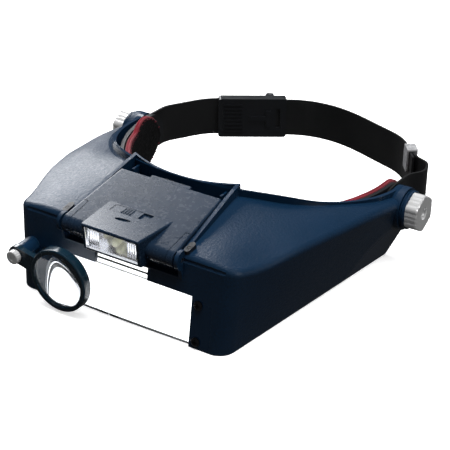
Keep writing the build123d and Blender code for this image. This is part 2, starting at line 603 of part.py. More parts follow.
def make_battery_door():
    gap = FIT_GAP
    door = block(-DOOR_HALF + gap, DOOR_HALF - gap, DOOR_Y0 + gap, DOOR_Y1 - gap, BASE_TOP - LID_WALL, BASE_TOP)
    for k in range(5):
        y = 20 + 4 * k
        door -= block(-12, 12, y, y + 0.8, BASE_TOP - LID_WALL - 1, BASE_TOP - LID_WALL + 0.35)
    return LAMP * (door - rod_z(1.0, -20, 0, DOOR_SCREW_X, DOOR_SCREW_Y))


def make_door_screw():
    foot = BASE_TOP - LID_WALL
    screw = rod_z(0.85, foot, BARREL_R - 4.5, DOOR_SCREW_X, DOOR_SCREW_Y)
    head = rod_z(1.7, foot - 0.35, foot, DOOR_SCREW_X, DOOR_SCREW_Y)
    return LAMP * (screw + head)




def make_cell(k):
    """AAA cell; the two lie side by side, end for end."""
    side = 1 if k == 0 else -1
    tip = side * (CONTACT_X - 0.05)
    face = tip - side * CELL_NUB
    body = rod_x(CELL_R, face, face - side * CELL_BODY, CELL_Y[k], CELL_Z)
    body = fillet(body.edges().filter_by(GeomType.CIRCLE), 0.5)
    return LAMP * (body + rod_x(1.9, tip, face - side * 0.5, CELL_Y[k], CELL_Z))


def make_contact_springs():
    springs = []
    for k in (0, 1):
        side = 1 if k == 0 else -1
        length = 2 * CONTACT_X - CELL_BODY - CELL_NUB - 0.3
        path = Helix(pitch=length / 4.2, height=length - 0.8, radius=2.7)
        wire = sweep(Plane(origin=path @ 0, z_dir=path % 0) * Circle(0.3), path=path)
        turn = Rot(0, 90 * side, 0) * wire
        springs.append(LAMP * Pos(-side * (CONTACT_X - 0.4), CELL_Y[k], CELL_Z) * turn)
    return Compound(children=springs)


def make_contact_plates():
    """One bridging plate and two single ones."""
    plates = []
    x0 = CONTACT_X
    x1 = CONTACT_X + 0.5
    plates.append(LAMP * block(-x0, -x1, CELL_Y[0] - 4.4, CELL_Y[1] + 4.4, CONTACT_FOOT, CONTACT_TOP))
    for y in CELL_Y:
        plates.append(LAMP * block(x0, x1, y - 4.4, y + 4.4, CONTACT_FOOT, CONTACT_TOP))
    return Compound(children=plates)


BOARD_Y = 12.4
LED_X = 6.5
LED_Z = 44.0
LED_R = 2.4


def make_circuit_board():
    return block(-14.4, 14.4, BOARD_Y, BOARD_Y + 1.0, 38.7, 49.3)


def make_leds():
    leds = []
    for side in (1, -1):
        led = rod_y(LED_R, BOARD_Y - 0.05, BOARD_Y - 3.4, side * LED_X, LED_Z)
        leds.append(led + Pos(side * LED_X, BOARD_Y - 3.4, LED_Z) * Sphere(LED_R))
    return Compound(children=leds)


def head_face_y(z):
    """Front face of the lamp head at a height."""
    return HEAD_FRONT_Y + HEAD_LEAN * (HEAD_TOP_Z - z) / (HEAD_TOP_Z - HEAD_BOTTOM_Z)


WINDOW_SETBACK = 0.3
WINDOW_PANE = 1.4


def make_lamp_window():
    z0 = LIGHT_BOTTOM_Z + FIT_GAP
    z1 = LIGHT_TOP_Z - FIT_GAP
    front = WINDOW_SETBACK
    back = WINDOW_SETBACK + WINDOW_PANE
    pane = make_face(Polyline((head_face_y(z0) + front, z0), (head_face_y(z0) + back, z0),
                              (head_face_y(z1) + back, z1), (head_face_y(z1) + front, z1), close=True))
    return extrude(ACROSS * pane, LIGHT_HALF - FIT_GAP, both=True)


def make_reflector():
    """Silvered bowl with a hole for each LED."""
    y0 = head_face_y(LIGHT_BOTTOM_Z) + WINDOW_SETBACK + WINDOW_PANE + 0.1
    y1 = BOARD_Y - 0.2
    half = LIGHT_HALF - FIT_GAP
    body = block(-half, half, y0, y1, LIGHT_BOTTOM_Z + FIT_GAP, LIGHT_TOP_Z - FIT_GAP)
    mouth = Plane(origin=(0, y0, LED_Z), x_dir=(1, 0, 0), z_dir=(0, -1, 0)) * Rectangle(2 * half - 1.4, 10.2)
    floor = Plane(origin=(0, y1 - 0.8, LED_Z), x_dir=(1, 0, 0), z_dir=(0, -1, 0)) * Rectangle(20, 5.6)
    body -= loft([mouth, floor], ruled=True)
    for side in (1, -1):
        body -= rod_y(LED_R + FIT_GAP, y0, y1 + 1, side * LED_X, LED_Z)
    return body


def make_switch_body():
    body = block(-10, 4, SLOT_Y - 3, SLOT_Y + 3, 43.6, 48.2)
    return body - block(STEM_X0 - 0.3, STEM_X1 + SWITCH_TRAVEL + 0.3, SLOT_Y - 0.9, SLOT_Y + 0.9, 46, 49)


def make_switch_slider():
    x0 = SLOT_X - SLOT_LENGTH / 2 + 0.4
    cap = block(x0, x0 + SLIDER_LENGTH, SLOT_Y - SLOT_WIDTH / 2 + 0.25, SLOT_Y + SLOT_WIDTH / 2 - 0.25,
                HEAD_TOP_Z - SLOT_DEPTH + 0.05, HEAD_TOP_Z - 0.1)
    for k in range(4):
        x = x0 + 6.0 + 1.6 * k
        cap += block(x, x + 0.7, SLOT_Y - 2.4, SLOT_Y + 2.4, HEAD_TOP_Z - 0.2, HEAD_TOP_Z + 0.35)
    return cap + block(STEM_X0, STEM_X1, SLOT_Y - 0.7, SLOT_Y + 0.7, 46.4, HEAD_TOP_Z - 0.5)


# ---------------------------------------------------------------- loupe
def loupe_disc(radius, y0, y1):
    return rod_y(radius, y0, y1, LOUPE_X, LOUPE_Z)


LOUPE_FRONT = LOUPE_Y - LOUPE_DEPTH / 2
LOUPE_BACK = LOUPE_Y + LOUPE_DEPTH / 2
LOUPE_LIP = 1.4


def make_loupe_frame():
    """Ring, flat arm and pivot eye in one moulding."""
    ring = loupe_disc(LOUPE_R, LOUPE_FRONT, LOUPE_BACK)
    ring = fillet(ring.edges().filter_by(GeomType.CIRCLE), 0.8)
    dx = LOUPE_X - LOUPE_PIVOT_X
    dz = LOUPE_Z - LOUPE_PIVOT_Z
    length = hypot(dx, dz)
    along_arm = Plane(origin=(LOUPE_PIVOT_X, LOUPE_Y, LOUPE_PIVOT_Z), x_dir=(dx / length, 0, dz / length),
                      z_dir=(0, -1, 0))
    arm = along_arm * block(0, length - LOUPE_R + 2, -ARM_WIDTH / 2, ARM_WIDTH / 2, -ARM_THICK / 2, ARM_THICK / 2)
    arm += rod_y(ARM_WIDTH / 2 + 0.3, LOUPE_ARM_FRONT, LOUPE_ARM_BACK, LOUPE_PIVOT_X, LOUPE_PIVOT_Z)
    frame = ring + arm
    frame -= loupe_disc(LOUPE_CLEAR_R, LOUPE_FRONT - 1, LOUPE_BACK + 1)
    frame -= loupe_disc(LOUPE_LENS_R + FIT_GAP / 2, LOUPE_FRONT + LOUPE_LIP, LOUPE_BACK + 1)
    return frame - rod_y(PIN_R + RUN_GAP, -20, 0, LOUPE_PIVOT_X, LOUPE_PIVOT_Z)


def make_loupe_lens():
    """Biconvex round lens seated on the ring's front lip."""
    bulge = (LOUPE_LENS_THICK - LOUPE_EDGE) / 2
    free_r = LOUPE_CLEAR_R - FIT_GAP
    sphere_r = (free_r**2 + bulge**2) / (2 * bulge)
    seat = LOUPE_FRONT + LOUPE_LIP
    lens = loupe_disc(free_r, seat - bulge, seat + LOUPE_EDGE + bulge)
    lens = lens & Pos(LOUPE_X, seat - bulge + sphere_r, LOUPE_Z) * Sphere(sphere_r)
    lens = lens & Pos(LOUPE_X, seat + LOUPE_EDGE + bulge - sphere_r, LOUPE_Z) * Sphere(sphere_r)
    return lens + loupe_disc(LOUPE_LENS_R, seat, seat + LOUPE_EDGE)


def make_loupe_ring():
    """Retaining ring behind the lens."""
    start = LOUPE_FRONT + LOUPE_LIP + LOUPE_EDGE + 0.05
    return loupe_disc(LOUPE_LENS_R, start, start + 1.2) - loupe_disc(LOUPE_CLEAR_R + 0.4, start - 1, start + 2)


def make_loupe_screw():
    """Knurled thumb-screw that the loupe swings on."""
    face = LOUPE_ARM_FRONT - FACE_GAP
    head = rod_y(THUMB_R, face, face - THUMB_LENGTH)
    head = chamfer(head.edges().filter_by(GeomType.CIRCLE), 0.4)
    for k in range(18):
        notch = rod_y(0.28, face + 1, face - THUMB_LENGTH - 1, THUMB_R + 0.05, 0)
        head -= Rot(0, 20 * k, 0) * notch
    head -= rod_y(1.6, face - THUMB_LENGTH + 0.5, face - THUMB_LENGTH - 1)
    return Pos(LOUPE_PIVOT_X, 0, LOUPE_PIVOT_Z) * (head + rod_y(PIN_R, face - 0.5, 3.6))


def make_loupe_washer():
    start = LOUPE_ARM_BACK + FACE_GAP
    washer = rod_y(4.0, start, start + LOUPE_WASHER, LOUPE_PIVOT_X, LOUPE_PIVOT_Z)
    return washer - rod_y(PIN_R + 0.1, start - 1, start + 2, LOUPE_PIVOT_X, LOUPE_PIVOT_Z)


# ---------------------------------------------------------------- headband
def ribbon(path, thick, height):
    """Upright strip along a plan path, centred on the pivot height."""
    return Pos(0, 0, PIVOT_Z - height / 2) * extrude(trace(path, thick), height)


def round_end(height, end_y, x0, x1):
    """Side view mask that rounds a strip's end at the pivot: half a disc behind the given place."""
    centre = end_y - height / 2
    mask = Pos(centre, PIVOT_Z) * Circle(height / 2)
    mask += Pos(centre - 150, PIVOT_Z) * Rectangle(300, height + 2)
    return Pos((x0 + x1) / 2, 0, 0) * extrude(ACROSS * mask, abs(x1 - x0) / 2, both=True)


def forehead_path(half_width, half_length, end_y):
    """Plan path round the forehead, running straight for a little behind the pivots."""
    oval = EllipticalCenterArc((0, VISOR_DEPTH), half_width, half_length, start_angle=180, arc_size=180)
    left = Line((half_width, VISOR_DEPTH), (half_width, end_y))
    right = Line((-half_width, end_y), (-half_width, VISOR_DEPTH))
    return right + oval + left


def pivot_holes(radius):
    return rod_x(radius, -SIDE_REACH, SIDE_REACH, VISOR_DEPTH, PIVOT_Z)


def make_front_band():
    end = VISOR_DEPTH + BAND_HEIGHT / 2
    band = ribbon(forehead_path(BAND_X, BAND_HALF_LENGTH, end), BAND_THICK, BAND_HEIGHT)
    return (band & round_end(BAND_HEIGHT, end, -SIDE_REACH, SIDE_REACH)) - pivot_holes(BOLT_R + 0.02)


def pad_side(end_y, end_r):
    """Side view of half the pad: a strip with a round end."""
    sheet = Pos(end_y / 2, PIVOT_Z) * Rectangle(end_y, PAD_HEIGHT)
    return ACROSS * (sheet + Pos(end_y, PIVOT_Z) * Circle(end_r))


def make_forehead_pad():
    """Soft pad inside the band, with pockets for the bolt heads and a broad tab at its right end."""
    centre = PAD_OUTER_X - PAD_THICK / 2
    path = forehead_path(centre, BAND_HALF_LENGTH - (BAND_X - centre), PAD_END_Y)
    left = extrude(pad_side(PAD_END_Y - PAD_HEIGHT / 2, PAD_HEIGHT / 2), SIDE_REACH)
    right = extrude(pad_side(PAD_TAB_Y, PAD_TAB_R), -SIDE_REACH)
    pad = ribbon(path, PAD_THICK, 2 * PAD_TAB_R + 1) & (left + right)
    pocket_x = BOLT_HEAD_X - BOLT_HEAD_THICK - PAD_GAP
    for side in SIDES.values():
        pad -= rod_x(BOLT_HEAD_R + PAD_GAP, side * pocket_x, side * SIDE_REACH, VISOR_DEPTH, PIVOT_Z)
    return pad


def make_pivot_bolt(side):
    inner = side * (BOLT_HEAD_X - BOLT_HEAD_THICK)
    head = rod_x(BOLT_HEAD_R, inner, side * BOLT_HEAD_X, VISOR_DEPTH, PIVOT_Z)
    return head + rod_x(BOLT_R, inner, side * (KNOB_FACE_X - 2.6), VISOR_DEPTH, PIVOT_Z)


def make_pivot_washers():
    washers = []
    for side in (1, -1):
        x0 = side * (BOSS_INNER_X - FACE_GAP)
        ring = rod_x(WASHER_R, x0, x0 - side * WASHER_THICK, VISOR_DEPTH, PIVOT_Z)
        washers.append(ring - pivot_holes(BOLT_R + 0.02))
    return Compound(children=washers)


def on_buckle(x, z):
    """Plan place of a point given along and through the buckle."""
    place = BUCKLE.origin + BUCKLE.x_dir * x + BUCKLE.z_dir * z
    return (place.X, place.Y)


STRAP_OUTER = -1.0         # the anchored strap runs outside the adjusting one in the buckle
STRAP_INNER = 0.6
HALF_BUCKLE = BUCKLE_LENGTH / 2


def make_strap_right():
    """Strap from the right pivot, anchored in the buckle."""
    start = (-STRAP_X, VISOR_DEPTH + 13)
    end = on_buckle(-HALF_BUCKLE - 1, STRAP_OUTER)
    stop = on_buckle(-3, STRAP_OUTER)
    inward = (BUCKLE.x_dir.X, BUCKLE.x_dir.Y)
    path = Line((-STRAP_X, VISOR_DEPTH - 12), start)
    path += Spline(start, (4.2 - STRAP_X, VISOR_DEPTH + 25), end, tangents=((0, 1), inward))
    path += Line(end, stop)
    strap = ribbon(path, STRAP_THICK, STRAP_HEIGHT)
    return (strap & front_round(-1)) - pivot_holes(BOLT_R + 0.02)


def front_round(side):
    """Mask that rounds the front end of a side strap round its pivot."""
    mask = Pos(VISOR_DEPTH, PIVOT_Z) * Circle(STRAP_HEIGHT / 2)
    mask += Pos(VISOR_DEPTH + 100, PIVOT_Z) * Rectangle(200, STRAP_HEIGHT + 2)
    return extrude(ACROSS * mask, 120, both=True)


def make_side_arm():
    """Left arm: bows outwards behind the pivot and turns in to the strap clip."""
    start = (STRAP_X, VISOR_DEPTH + 13)
    path = Line((STRAP_X, VISOR_DEPTH - 12), start)
    bow = (STRAP_X + 4.6, VISOR_DEPTH + 25)
    turn = (STRAP_X + 1.4, VISOR_DEPTH + 36)
    path += Spline(start, bow, turn, CLIP_OUTER, tangents=((0, 1), CLIP_ALONG))
    path += Line(CLIP_OUTER, (CLIP_OUTER[0] + 9 * CLIP_ALONG[0], CLIP_OUTER[1] + 9 * CLIP_ALONG[1]))
    arm = ribbon(path, STRAP_THICK, STRAP_HEIGHT)
    return (arm & front_round(1)) - pivot_holes(BOLT_R + 0.02)


CLIP_TURN = 128.0          # direction of the straps at the clip, degrees from +X
CLIP_ALONG = (cos(radians(CLIP_TURN)), sin(radians(CLIP_TURN)))
CLIP_OUT = (CLIP_ALONG[1], -CLIP_ALONG[0])
CLIP_INNER = (0.857 * STRAP_X, VISOR_DEPTH + 42.6)
CLIP_OUTER = (CLIP_INNER[0] + 1.6 * CLIP_OUT[0], CLIP_INNER[1] + 1.6 * CLIP_OUT[1])


def make_strap_left():
    """Long strap: through the buckle, round the back of the head and into the clip."""
    start = on_buckle(-HALF_BUCKLE + 4, STRAP_INNER)
    leave = on_buckle(HALF_BUCKLE + 1, STRAP_INNER)
    outward = (BUCKLE.x_dir.X, BUCKLE.x_dir.Y)
    clip_end = (CLIP_INNER[0] + 9 * CLIP_ALONG[0], CLIP_INNER[1] + 9 * CLIP_ALONG[1])
    path = Line(start, leave)
    back = (0.04 * STRAP_X, VISOR_DEPTH + 74.8)
    corner = (0.5 * STRAP_X, VISOR_DEPTH + 64)
    path += Spline(leave, back, corner, clip_end,
                   tangents=(outward, (-CLIP_ALONG[0], -CLIP_ALONG[1])))
    path += Line(clip_end, (CLIP_INNER[0] - 6.5 * CLIP_ALONG[0], CLIP_INNER[1] - 6.5 * CLIP_ALONG[1]))
    return ribbon(path, STRAP_THICK, STRAP_HEIGHT)


CLIP = Plane(origin=(CLIP_INNER[0], CLIP_INNER[1], PIVOT_Z), x_dir=(CLIP_ALONG[0], CLIP_ALONG[1], 0),
             z_dir=(CLIP_OUT[0], CLIP_OUT[1], 0))


def make_strap_clip():
    """Grey spring clip that hooks over the top edges of the arm and the strap."""
    top = STRAP_HEIGHT / 2 + 0.2
    clip = block(0.5, 0.5 + CLIP_LENGTH, CLIP_FOOT, top + 1.2, -1.9, 4.0)
    clip = fillet(clip.edges().filter_by(Axis.Z), 0.9)
    clip -= block(-5, 20, -20, top, -0.9, 2.5)
    return CLIP * clip


CHANNEL_Z0 = -1.75
CHANNEL_Z1 = 1.35
BUCKLE_OUTER_Z = -3.6
BUCKLE_INNER_Z = 2.6
LEVER_PIN_X = 10.5
LEVER_PIN_Z = BUCKLE_OUTER_Z - LEVER_STAND


def make_buckle_frame():
    """Flat box with a strap channel, lugs for the lever and ribs on its inner face."""
    half = BUCKLE_HEIGHT / 2
    frame = block(-HALF_BUCKLE, HALF_BUCKLE, -half, half, BUCKLE_OUTER_Z, BUCKLE_INNER_Z)
    frame = fillet(frame.edges().filter_by(Axis.Z), 1.6)
    frame -= block(-HALF_BUCKLE - 1, HALF_BUCKLE + 1, -11.45, 11.45, CHANNEL_Z0, CHANNEL_Z1)
    frame -= block(-12, -4, -6, 6, BUCKLE_OUTER_Z - 1, CHANNEL_Z0 + 0.5)
    for k in range(8):
        y = -8.4 + 2.4 * k
        frame += block(-17, -6, y - 0.5, y + 0.5, BUCKLE_INNER_Z - 0.1, BUCKLE_INNER_Z + 0.5)
    frame += block(-2, 10, -1.5, 1.5, BUCKLE_INNER_Z - 0.1, BUCKLE_INNER_Z + 0.8)
    frame += block(8, 11, -5, 5, BUCKLE_INNER_Z - 0.1, BUCKLE_INNER_Z + 0.8)
    frame -= block(14, 16.5, -6, 6, CHANNEL_Z1 - 0.5, BUCKLE_INNER_Z + 1)
    for side in (1, -1):
        lug = block(LEVER_PIN_X - 2.4, LEVER_PIN_X + 2.4, side * (LEVER_HALF + 0.3), side * half,
                    BUCKLE_OUTER_Z - 4.0, BUCKLE_OUTER_Z + 0.1)
        frame += fillet(lug.edges().filter_by(Axis.Y).sort_by(Axis.Z)[:2], 1.8)
    return BUCKLE * (frame - Pos(LEVER_PIN_X, 0, LEVER_PIN_Z) * Rot(90, 0, 0) * Cylinder(LEVER_PIN_R, 60))


def make_buckle_lever():
    """Grey arched lever that clamps the adjusting strap."""
    x0 = LEVER_PIN_X + 3.2 - LEVER_LENGTH
    x1 = LEVER_PIN_X + 3.2
    foot = BUCKLE_OUTER_Z - 0.25
    crown = foot - LEVER_RISE
    arc = ThreePointArc((x0, foot), ((x0 + x1) / 2, crown), (x1, foot))
    profile = make_face([arc, Line((x1, foot), (x0, foot))])
    sketch = Plane(origin=(0, 0, 0), x_dir=(1, 0, 0), z_dir=(0, -1, 0)) * profile
    lever = extrude(sketch, LEVER_HALF, both=True)
    lever += block(-9, -7, -5, 5, foot - 0.5, CHANNEL_Z0 - 0.05)
    lever -= block(x0 + 8, LEVER_PIN_X - 3.4, -LEVER_HALF + 1.4, LEVER_HALF - 1.4, foot - 1.3, foot + 1) - block(
        -9, -7, -5, 5, -20, 20)
    heel = LEVER_STAND - RUN_GAP
    lever -= Pos(LEVER_PIN_X, 0, LEVER_PIN_Z) * Rot(0, LEVER_LIFT, 0) * block(0, 12, -20, 20, heel, heel + 8)
    lever -= Pos(LEVER_PIN_X, 0, LEVER_PIN_Z) * Rot(90, 0, 0) * Cylinder(LEVER_PIN_R + RUN_GAP, 60)
    return BUCKLE * lever


def make_lever_pin():
    return BUCKLE * Pos(LEVER_PIN_X, 0, LEVER_PIN_Z) * Rot(90, 0, 0) * Cylinder(LEVER_PIN_R, BUCKLE_HEIGHT)


# ---------------------------------------------------------------- knobs
INSERT_R = 3.6
INSERT_LENGTH = 5.0


def make_knob(side):
    """Chrome knob with round lobes and a dimpled face."""
    sheet = Circle(KNOB_R - 0.7)
    for k in range(KNOB_LOBES):
        angle = 360 / KNOB_LOBES * k
        sheet += Rot(0, 0, angle) * Pos(KNOB_R - 3.0, 0) * Circle(3.0)
    for k in range(KNOB_LOBES):
        angle = 360 / KNOB_LOBES * (k + 0.5)
        sheet -= Rot(0, 0, angle) * Pos(KNOB_R + 2.4, 0) * Circle(3.3)
    knob = extrude(sheet, KNOB_THICK)
    knob = chamfer(knob.faces().sort_by(Axis.Z)[-1].edges(), 0.5)
    knob -= Pos(0, 0, KNOB_THICK) * Sphere(3.6) & rod_z(3.4, KNOB_THICK - 1.5, KNOB_THICK + 1)
    knob -= rod_z(INSERT_R, -1, INSERT_LENGTH)
    return Pos(side * KNOB_X, VISOR_DEPTH, PIVOT_Z) * Rot(0, 90 * side, 0) * knob


def make_knob_insert(side):
    x0 = side * KNOB_X
    insert = rod_x(INSERT_R, x0, x0 + side * INSERT_LENGTH, VISOR_DEPTH, PIVOT_Z)
    return insert - rod_x(BOLT_R + RUN_GAP, x0 - side * 5, x0 + side * (INSERT_LENGTH + 5), VISOR_DEPTH, PIVOT_Z)


# ---------------------------------------------------------------- assembly
HEADBAND_NODES = ("front_band", "forehead_pad", "pivot_bolt_left", "pivot_bolt_right", "pivot_washers",
                  "strap_right", "strap_left", "side_arm_left", "strap_clip", "buckle_frame",
                  "buckle_lever", "buckle_lever_pin", "knob_left", "knob_right",
                  "knob_insert_left", "knob_insert_right")
HEADBAND_REST = Pos(0, VISOR_DEPTH, PIVOT_Z) * Rot(REST_TILT, 0, 0) * Pos(0, -VISOR_DEPTH, -PIVOT_Z)


def build():
    """All nodes, in the working frame."""
    nodes = {
        "visor_shell": make_visor_shell(),
        "front_lens": make_front_lens(),
        "lens_screws": make_lens_screws(),
        "flip_pin": make_flip_pin(),
        "flip_bracket_screws": make_flip_screws(),
        "flip_lens_frame": make_flip_frame(),
        "flip_lens": make_flip_lens(),
        "lamp_cover": make_lamp_cover(),
        "lamp_base": make_lamp_base(),
        "battery_door": make_battery_door(),
        "battery_door_screw": make_door_screw(),
        "battery_front": make_cell(0),
        "battery_rear": make_cell(1),
        "contact_springs": make_contact_springs(),
        "contact_plates": make_contact_plates(),
        "circuit_board": make_circuit_board(),
        "leds": make_leds(),
        "reflector": make_reflector(),
        "lamp_window": make_lamp_window(),
        "switch_body": make_switch_body(),
        "switch_slider": make_switch_slider(),
        "loupe_frame": make_loupe_frame(),
        "loupe_lens": make_loupe_lens(),
        "loupe_retaining_ring": make_loupe_ring(),
        "loupe_screw": make_loupe_screw(),
        "loupe_washer": make_loupe_washer(),
        "front_band": make_front_band(),
        "forehead_pad": make_forehead_pad(),
        "pivot_washers": make_pivot_washers(),
        "strap_right": make_strap_right(),
        "strap_left": make_strap_left(),
        "side_arm_left": make_side_arm(),
        "strap_clip": make_strap_clip(),
        "buckle_frame": make_buckle_frame(),
        "buckle_lever": make_buckle_lever(),
        "buckle_lever_pin": make_lever_pin(),
    }
    for name, side in SIDES.items():
        nodes[f"lens_retainer_{name}"] = make_lens_retainer(side)
        nodes[f"hinge_clip_{name}"] = make_hinge_clip(side)
        nodes[f"lamp_pin_{name}"] = make_lamp_pin(side)
        nodes[f"flip_bracket_{name}"] = make_flip_bracket(side)
        nodes[f"pivot_disc_{name}"] = make_pivot_disc(side)
        nodes[f"pivot_bolt_{name}"] = make_pivot_bolt(side)
        nodes[f"knob_{name}"] = make_knob(side)
        nodes[f"knob_insert_{name}"] = make_knob_insert(side)
    for name in HEADBAND_NODES:
        nodes[name] = HEADBAND_REST * nodes[name]
    return nodes


def row_shift(nodes):
    """Move that puts the row origin under the middle of the whole object."""
    boxes = [shape.bounding_box() for shape in nodes.values()]
    low = min(box.min.Y for box in boxes)
    high = max(box.max.Y for box in boxes)
    return Pos(0, -(low + high) / 2, 0)


NODES = build()
SHIFT = row_shift(NODES)
os.makedirs("parts", exist_ok=True)
for node, shape in NODES.items():
    export_step(SHIFT * shape, f"parts/{node}.step")
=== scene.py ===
from math import cos, pi, radians, sin
import json
import bmesh
import bpy
from mathutils import Matrix, Vector, noise


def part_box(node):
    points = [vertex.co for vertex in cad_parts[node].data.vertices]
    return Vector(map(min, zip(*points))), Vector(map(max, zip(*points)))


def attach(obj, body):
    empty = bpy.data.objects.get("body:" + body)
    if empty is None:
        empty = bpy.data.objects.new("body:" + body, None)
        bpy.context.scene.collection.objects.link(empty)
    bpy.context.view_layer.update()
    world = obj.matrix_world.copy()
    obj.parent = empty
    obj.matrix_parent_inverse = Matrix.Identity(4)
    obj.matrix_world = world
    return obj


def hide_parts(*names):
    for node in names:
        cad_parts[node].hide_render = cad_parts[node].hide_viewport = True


# Head visor magnifier: looks. Metres, +Z up, the front faces -Y.
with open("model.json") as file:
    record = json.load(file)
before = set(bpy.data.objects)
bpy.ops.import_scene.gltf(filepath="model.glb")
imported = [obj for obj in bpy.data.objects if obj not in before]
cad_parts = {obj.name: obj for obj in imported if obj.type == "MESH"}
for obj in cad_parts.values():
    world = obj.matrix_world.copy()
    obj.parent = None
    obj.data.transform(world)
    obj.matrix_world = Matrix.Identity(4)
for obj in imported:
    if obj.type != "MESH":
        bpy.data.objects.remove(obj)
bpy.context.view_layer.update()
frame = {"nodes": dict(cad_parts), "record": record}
NODES = frame["nodes"]

# ---------------------------------------------------------------- places taken from the CAD
PIVOT = sum(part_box("pivot_bolt_left"), Vector()) / 2
PIVOT_Y = PIVOT.y
PIVOT_Z = PIVOT.z
FRONT_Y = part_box("visor_shell")[0].y
PAD_LOW, PAD_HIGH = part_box("forehead_pad")

# ---------------------------------------------------------------- camera, lights and floor
CAMERA_AZIMUTH = 33.38
CAMERA_ELEVATION = 29.03
CAMERA_PLACE = (0.37621, PIVOT_Y - 0.61042, 0.38866)
CAMERA_LENS = 115.68
SENSOR_WIDTH = 36.0
NEAR_CLIP = 0.01
KEY_TOWARDS = (-0.82, 0.46, 0.50)
KEY_DISTANCE = 1.15
ROOF_LIGHT_Y = FRONT_Y + 0.035        # under the roof, a little behind the front lens
ROOF_LIGHT_Z = 0.026
WORLD_STRENGTH = 0.07
FLOOR_HALF = 6.0
FLOOR_DROP = 0.0002                   # keeps the floor clear of the rim that rests on it
FLOOR_GLOW = 0.6
WALL_R = 1.9
WALL_LOW = -0.1
WALL_HEIGHT = 3.0
WALL_SIDES = 48
WALL_GLOW = 0.95
WHITE = (1, 1, 1, 1)


def make_camera():
    data = bpy.data.cameras.new("camera")
    data.lens = CAMERA_LENS
    data.sensor_width = SENSOR_WIDTH
    data.clip_start = NEAR_CLIP
    camera = bpy.data.objects.new("camera", data)
    camera.location = CAMERA_PLACE
    camera.rotation_euler = (radians(90 - CAMERA_ELEVATION), 0, radians(CAMERA_AZIMUTH))
    bpy.context.scene.collection.objects.link(camera)
    bpy.context.scene.camera = camera


def make_softbox(name, place, target, size, watts, color=(1, 1, 1)):
    """Rectangular soft light aimed at a point."""
    data = bpy.data.lights.new(name, "AREA")
    data.shape = "RECTANGLE"
    data.size = size[0]
    data.size_y = size[1]
    data.energy = watts
    data.color = color
    light = bpy.data.objects.new(name, data)
    light.location = place
    light.rotation_euler = (Vector(target) - Vector(place)).to_track_quat("-Z", "Y").to_euler()
    bpy.context.scene.collection.objects.link(light)
    return light


def make_lights():
    """A key behind and to the left that the top panels mirror, and soft fills."""
    key = Vector(KEY_TOWARDS).normalized() * KEY_DISTANCE
    make_softbox("key_back_left", key, (0, -0.02, 0.03), (0.62, 0.6), 13, (0.97, 0.98, 1.0))
    top = make_softbox("top", (0.15, 0.05, 1.25), (0, 0, 0), (1.0, 1.0), 26)
    top.visible_glossy = False
    make_softbox("right_fill", (1.1, -0.2, 0.6), (0, 0, 0.03), (0.3, 0.5), 2)
    place = (0, ROOF_LIGHT_Y, ROOF_LIGHT_Z)
    inside = make_softbox("under_roof", place, (0, ROOF_LIGHT_Y, 0), (0.1, 0.03), 0.05)
    inside.visible_glossy = False
    inside.visible_camera = False
    inside.visible_transmission = False


def make_world():
    world = bpy.data.worlds.new("studio")
    bpy.context.scene.world = world
    world.use_nodes = True
    background = world.node_tree.nodes["Background"]
    background.inputs["Color"].default_value = WHITE
    background.inputs["Strength"].default_value = WORLD_STRENGTH
    bpy.context.scene.view_settings.view_transform = "Standard"
    bpy.context.scene.view_settings.look = "None"


def make_stage(name, verts, faces, paper):
    """Piece of the studio, which isn't part of the object."""
    mesh = bpy.data.meshes.new(name)
    mesh.from_pydata(verts, [], faces)
    mesh.materials.append(paper.material)
    piece = bpy.data.objects.new(name, mesh)
    bpy.context.scene.collection.objects.link(piece)
    piece.visible_diffuse = False
    piece.visible_glossy = False
    return piece


def make_floor():
    """Pale paper that glows a little, so that shadows stay light."""
    half = FLOOR_HALF
    verts = [(-half, -half, 0), (half, -half, 0), (half, half, 0), (-half, half, 0)]
    glow = {"Emission_Color": WHITE, "Emission_Strength": FLOOR_GLOW}
    paper = Shader("floor_paper", (0.93, 0.93, 0.935), 0.8, **glow)
    paper.mottle(3.0, 0.02)
    floor = make_stage("floor", verts, [(0, 1, 2, 3)], paper)
    floor.location = (0, 0, -FLOOR_DROP)


def make_backdrop():
    """Round white wall far behind the object, which lights nothing."""
    verts = []
    faces = []
    ends = 2 * WALL_SIDES
    for k in range(WALL_SIDES):
        turn = 2 * pi * k / WALL_SIDES
        verts += [(WALL_R * cos(turn), WALL_R * sin(turn), z) for z in (WALL_LOW, WALL_HEIGHT)]
        low = 2 * k
        faces.append((low, low + 1, (low + 3) % ends, (low + 2) % ends))
    glow = {"Emission_Color": WHITE, "Emission_Strength": WALL_GLOW}
    paper = Shader("backdrop_paper", (0.9, 0.9, 0.9), 0.9, **glow)
    paper.mottle(0.4, 0.01)
    wall = make_stage("backdrop", verts, faces, paper)
    wall.visible_shadow = False


